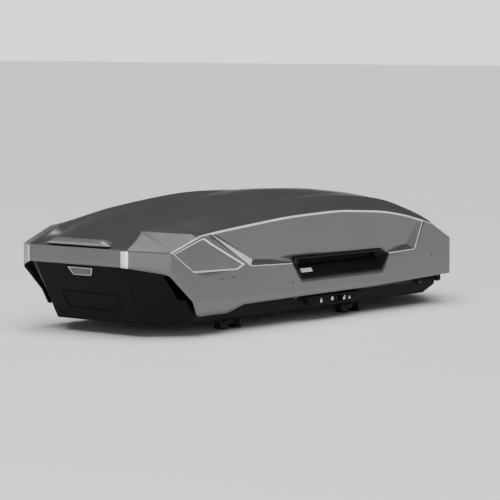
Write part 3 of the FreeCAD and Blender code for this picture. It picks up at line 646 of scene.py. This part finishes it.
def grip(side, word):
    """A six-cornered cup: its lower face slopes in to the grip edge, and the hollow above it is deep, with
    painted shade on its walls and back.
    """
    hollow = [(-156, 161), (-153, 156), (286, 156), (296, 161), (292, 184), (-154, 185)]
    depths = [24, 24.5, 24.5, 24, 25, 25]
    bm = bmesh.new()

    def ring(points, depth):
        depth = depth if isinstance(depth, list) else [depth] * len(points)
        loop = [at(x, side * (side_y(x, z) - d), z) for (x, z), d in zip(points, depth)]
        return loop + loop[:1]

    rings = [ring(inset(HANDLE, grow), depth) for grow, depth in
             ((1, 7), (0.5, 2.2), (1.6, 1.1), (5.5, 1.1), (7, 2.0))]
    rings += [ring(hollow, depths), ring(inset(hollow, 1.5), 27), ring(inset(hollow, 2), 33)]
    # The hollow's walls and back take the second material: painted shade.
    grid = add_grid(bm, rings, lambda i, j: 1 if i >= 5 else 0)
    back = bm.faces.new(grid[-1][:-1])
    back.material_index = 1
    bmesh.ops.remove_doubles(bm, verts=bm.verts, dist=0.00001)
    bmesh.ops.recalc_face_normals(bm, faces=bm.faces)
    if (back.normal.y > 0) != (side > 0):
        bmesh.ops.reverse_faces(bm, faces=bm.faces)
    made = finish_mesh("grip_" + word, bm, [BLACK, GRIP_PAINTED_SHADE], "lid", 20, ["handle_insert_" + word])
    skin = made.modifiers.new("skin", "SOLIDIFY")
    skin.thickness = 0.0016
    skin.offset = -1


def plate_lines(side, word):
    """Rows of small bars on the label, standing for its unreadable print."""
    bm = bmesh.new()
    outward = Vector((0, side * 0.832, 0.555))
    up = Vector((0, -side * 0.555, 0.832))
    centre = at(-122, side * 339.05, 141.8)
    for row, (start, length) in enumerate(((-26, 34), (-26, 50), (-26, 42))):
        for k in range(int(length / 7)):
            x0 = (start + 7 * k) / 1000
            z0 = (3.4 - 3.4 * row) / 1000
            corners = [centre + Vector((x0 + dx, 0, 0)) + up * (z0 + dz) for dx, dz in
                       ((0, -0.0007), (0.0052, -0.0007), (0.0052, 0.0007), (0, 0.0007))]
            low = [bm.verts.new(c - outward * 0.0004) for c in corners]
            high = [bm.verts.new(c + outward * 0.00025) for c in corners]
            bm.faces.new(high)
            bm.faces.new(low)
            for i in range(4):
                bm.faces.new([low[i], low[(i + 1) % 4], high[(i + 1) % 4], high[i]])
    bmesh.ops.recalc_face_normals(bm, faces=bm.faces)
    finish_mesh("label_bars_" + word, bm, [BLACK], "lid", 30)


for side, word in ((-1, "right"), (1, "left")):
    grip(side, word)
    plate_lines(side, word)


# ---------------------------------------------------------------- marks on the locks

LOCK_FACE = 336            # outer face of the lock housings


def arc(x, z, radius, start, end, count=12):
    """Corners along an arc, in degrees."""
    angles = [math.radians(start + (end - start) * i / count) for i in range(count + 1)]
    return [(x + radius * math.cos(a), z + radius * math.sin(a)) for a in angles]


def padlock(x, shift):
    """Body and shackle of a small padlock; shift swings the shackle to one side."""
    body = [(x - 5.5, 20), (x + 5.5, 20), (x + 5.5, 28.5), (x - 5.5, 28.5)]
    outer = [(x - 4 + shift, 28.5)] + arc(x + shift, 31, 4, 180, 0) + [(x + 4 + shift, 28.5)]
    inner = [(x + 2.6 + shift, 28.5)] + arc(x + shift, 31, 2.6, 0, 180) + [(x - 2.6 + shift, 28.5)]
    return [body, outer + inner]


def pointer(x):
    """A small solid triangle."""
    return [[(x - 6.5, 21), (x + 6.5, 21), (x, 33)]]


def lock_marks(side, word):
    bm = bmesh.new()
    for outline in padlock(-33, 0) + padlock(101, 4) + pointer(133):
        add_prism(bm, outline,
                  lambda x, z: at(x, side * (LOCK_FACE - 0.2), z),
                  lambda x, z: at(x, side * (LOCK_FACE + 0.25), z))
    finish_mesh("lock_marks_" + word, bm, [MARK], "tub", 30)


for side, word in ((-1, "right"), (1, "left")):
    lock_marks(side, word)


# ---------------------------------------------------------------- the tub's rear wall

def rear_wall_x(z):
    return straight([(0, -835), (30, -850), (212, -932)], z)


def rear_frame():
    """A raised border round the lower rear panel, with a ledge along its top."""
    outer = [(-122, 36), (122, 36), (130, 99), (-130, 99)]
    inner = [(-114, 42), (114, 42), (120, 91), (-120, 91)]
    bm = bmesh.new()
    rings = []
    for outline, height in ((outer, -0.5), (inset(outer, 0.4), 2.2), (inset(outer, 1.6), 3.2),
                            (inset(inner, -1.4), 3.2), (inset(inner, -0.3), 2.2), (inner, -0.5)):
        loop = [at(rear_wall_x(z) - height, y, z) for y, z in outline]
        rings.append(loop + loop[:1])
    add_grid(bm, rings)
    bmesh.ops.remove_doubles(bm, verts=bm.verts, dist=0.00001)
    bmesh.ops.recalc_face_normals(bm, faces=bm.faces)
    finish_mesh("rear_panel_frame", bm, [TUB], "tub", 50, ())


rear_frame()


def badge():
    """A blank plate with a bright raised border and a darker field."""
    border = [(-40, 160), (40, 160), (57, 188), (-57, 188)]
    bm = bmesh.new()
    rings = []
    for outline, height in ((border, -0.4), (border, 2.0), (inset(border, 0.8), 3.0),
                            (inset(border, 2.6), 3.0), (inset(border, 3.2), 2.2), (inset(border, 8), 2.2)):
        loop = [at(rear_wall_x(z) - height, y, z) for y, z in outline]
        rings.append(loop + loop[:1])
    grid = add_grid(bm, rings, lambda i, j: 1 if i >= 4 else 0)
    for ring, mat in ((grid[0], 0), (grid[-1], 1)):
        bm.faces.new(ring[:-1]).material_index = mat
    bmesh.ops.remove_doubles(bm, verts=bm.verts, dist=0.00001)
    bmesh.ops.recalc_face_normals(bm, faces=bm.faces)
    finish_mesh("badge", bm, [BADGE, BADGE_FIELD], "tub", 20, ["badge_plate"])


badge()


# ---------------------------------------------------------------- felt mat and straps

def mat_felt():
    """The mat in one sheet, cut out round the two rails."""
    xs = [-650, -631, -612] + [-593 + 1096 * i / 58 for i in range(59)] + [535, 568, 600]
    ys = [-286, -270, -252, -235, -218.5, -202, -185] + [-185 + 370 * i / 20 for i in range(1, 21)] \
        + [202, 218.5, 235, 252, 270, 286]
    bm = bmesh.new()
    verts = {}

    def corner(i, j):
        if (i, j) not in verts:
            x, y = xs[i], ys[j]
            wave = 0.35 * math.sin(x / 61) * math.sin(y / 43) + 0.25 * math.sin(x / 23 + y / 31)
            verts[i, j] = bm.verts.new(at(x, y, 7.2 + wave))
        return verts[i, j]

    for i in range(len(xs) - 1):
        for j in range(len(ys) - 1):
            x, y = (xs[i] + xs[i + 1]) / 2, abs(ys[j] + ys[j + 1]) / 2
            if not (-593 < x < 503 and 185 < y < 235):
                bm.faces.new([corner(i, j), corner(i + 1, j), corner(i + 1, j + 1), corner(i, j + 1)])
    bmesh.ops.solidify(bm, geom=bm.faces, thickness=0.0024)
    bmesh.ops.recalc_face_normals(bm, faces=bm.faces)
    felt = finish_mesh("floor_felt", bm, [FELT], "tub", 50, ["floor_mat"])


def strap(x, word):
    """Webbing laid over the mat; it rises through the buckle and lies flat beyond it."""
    bm = bmesh.new()
    rows = []
    for i in range(61):
        y = -180 + 6 * i
        lift = 3.2 * fade(48, 24, abs(y)) + 0.3 * math.sin(y / 17)
        edge = 0.25 * math.sin(y / 29 + x)
        rows.append([at(x + k * 25 / 6, y, 9.9 + lift + edge * (k - 3) / 3) for k in range(7)])
    add_grid(bm, rows)
    bmesh.ops.solidify(bm, geom=bm.faces, thickness=0.0013)
    bmesh.ops.recalc_face_normals(bm, faces=bm.faces)
    band = finish_mesh("strap_band_" + word, bm, [WEBBING], "tub", 50, ["strap_" + word])


mat_felt()
strap(-120, "rear")
strap(60, "front")


# ---------------------------------------------------------------- CAD pieces

HARD_EDGE = math.radians(30)


def softened(name, width, mat):
    """The CAD piece with its hard edges rounded over."""
    source = NODES[name].data
    bm = bmesh.new()
    verts = [bm.verts.new(v.co) for v in source.vertices]
    for polygon in source.polygons:
        bm.faces.new([verts[i] for i in polygon.vertices])
    bmesh.ops.remove_doubles(bm, verts=bm.verts, dist=0.00002)
    bmesh.ops.dissolve_limit(bm, angle_limit=math.radians(1), verts=bm.verts, edges=bm.edges)
    edges = [e for e in bm.edges if len(e.link_faces) == 2 and e.calc_face_angle(0) > HARD_EDGE]
    bmesh.ops.bevel(bm, geom=edges, offset=width / 1000, segments=2, profile=0.5, affect="EDGES",
                    clamp_overlap=True)
    finish_mesh(name + "_part", bm, [mat], NODES[name]["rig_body"], 32, [name])


def soften_all(prefixes, width, mat):
    for name in sorted(NODES):
        if name.startswith(prefixes):
            softened(name, width, mat)


def paint(prefixes, mat):
    for name, obj in NODES.items():
        if name.startswith(prefixes):
            obj.data.materials.clear()
            obj.data.materials.append(mat)


soften_all(("base_shell", "clamp_saddle", "clamp_plates"), 1.6, TUB)
soften_all(("lock_housing",), 1.4, TUB)
soften_all(("clamp_knob", "buckle"), 1.3, BLACK)
soften_all(("lock_slider",), 0.6, BLACK)
soften_all(("crossbar_pads",), 1.0, RUBBER)
soften_all(("floor_rail", "lid_rail", "strut_floor", "strut_roof"), 0.6, ZINC)
soften_all(("lift_bow",), 0.6, BLACK_STEEL)
soften_all(("tub_pivots", "lid_pivots", "latch"), 0.5, BLACK_STEEL)
soften_all(("rail_rivets", "key_cylinder", "strut_rods"), 0.4, STEEL)
soften_all(("strut_tubes",), 0.8, BLACK_STEEL)
soften_all(("jaw_",), 0.8, BLACK_STEEL)
soften_all(("skirt_rivets",), 0.4, BLACK_STEEL)
paint(("handle_plate",), MARK)


# ---------------------------------------------------------------- floor, light and camera

FLOOR_REACH = 60                          # metres from the origin to the floor's edges
HORIZON_GREY = (0.74, 0.75, 0.745)        # a narrow bright strip low in the sky
SKY_STRENGTH = 2.15
SUN_STRENGTH = 4.1
AREA_LIGHTS = [                           # name, place, target, width and height in metres, watts
    ("side_box", (-3.4, -5.4, 1.6), (0, 0, 0.2), (2.6, 1.6), 45),
    ("rear_box", (-5.4, -1.9, 0.9), (-0.9, -0.2, 0.25), (0.9, 1.2), 45),
    ("high_box", (-0.1, 0.45, 3.8), (-0.8, -0.25, 0.3), (0.8, 0.8), 23),
]
CAMERA_PLACE = (-7.247, -5.886, 1.019)
CAMERA_AIM = (-0.02, 0.0, 0.235)
CAMERA_LENS = 186                         # millimetres


def studio():
    floor_mesh = bpy.data.meshes.new("floor")
    far = FLOOR_REACH
    corners = [(-far, -far, 0), (far, -far, 0), (far, far, 0), (-far, far, 0)]
    floor_mesh.from_pydata(corners, [], [(0, 1, 2, 3)])
    floor = bpy.data.objects.new("floor", floor_mesh)
    bpy.context.scene.collection.objects.link(floor)
    mat, tree, shader = material("studio_floor", roughness=0.9)
    grey = ramp(tree, noise(tree, 0.6, 2.0), [(0.3, (0.86, 0.87, 0.865)), (0.7, (0.88, 0.89, 0.885))])
    tree.links.new(grey, shader.inputs["Base Color"])
    floor_mesh.materials.append(mat)
    world = bpy.data.worlds.new("studio")
    bpy.context.scene.world = world
    world.use_nodes = True
    tree = world.node_tree
    background = tree.nodes["Background"]
    coords = tree.nodes.new("ShaderNodeTexCoord")
    split = tree.nodes.new("ShaderNodeSeparateXYZ")
    tree.links.new(coords.outputs["Generated"], split.inputs["Vector"])
    sky = ramp(tree, split.outputs["Z"], [(0.0, HORIZON_GREY), (0.03, HORIZON_GREY),
                                          (0.09, (0.035, 0.035, 0.035)), (1.0, (0.03, 0.03, 0.03))])
    tree.links.new(sky, background.inputs["Color"])
    background.inputs["Strength"].default_value = SKY_STRENGTH


def area_light(name, place, target, size, power):
    data = bpy.data.lights.new(name, "AREA")
    data.shape = "RECTANGLE"
    data.size, data.size_y = size
    data.energy = power
    lamp = bpy.data.objects.new(name, data)
    bpy.context.scene.collection.objects.link(lamp)
    lamp.location = place
    lamp.rotation_euler = (Vector(target) - Vector(place)).to_track_quat("-Z", "Y").to_euler()


def overhead():
    """A very large soft source above; it lights the floor evenly and isn't mirrored by the paint."""
    data = bpy.data.lights.new("overhead", "SUN")
    data.energy = SUN_STRENGTH
    data.angle = math.radians(70)
    lamp = bpy.data.objects.new("overhead", data)
    bpy.context.scene.collection.objects.link(lamp)
    lamp.rotation_euler = (math.radians(18), math.radians(-22), 0)
    lamp.visible_glossy = False


def camera():
    """The photograph's viewpoint, aimed at the box."""
    data = bpy.data.cameras.new("camera")
    data.lens = CAMERA_LENS
    data.clip_end = 200
    cam = bpy.data.objects.new("camera", data)
    bpy.context.scene.collection.objects.link(cam)
    cam.location = CAMERA_PLACE
    cam.rotation_euler = (Vector(CAMERA_AIM) - cam.location).to_track_quat("-Z", "Y").to_euler()
    bpy.context.scene.camera = cam


studio()
overhead()
for light in AREA_LIGHTS:
    area_light(*light)
camera()
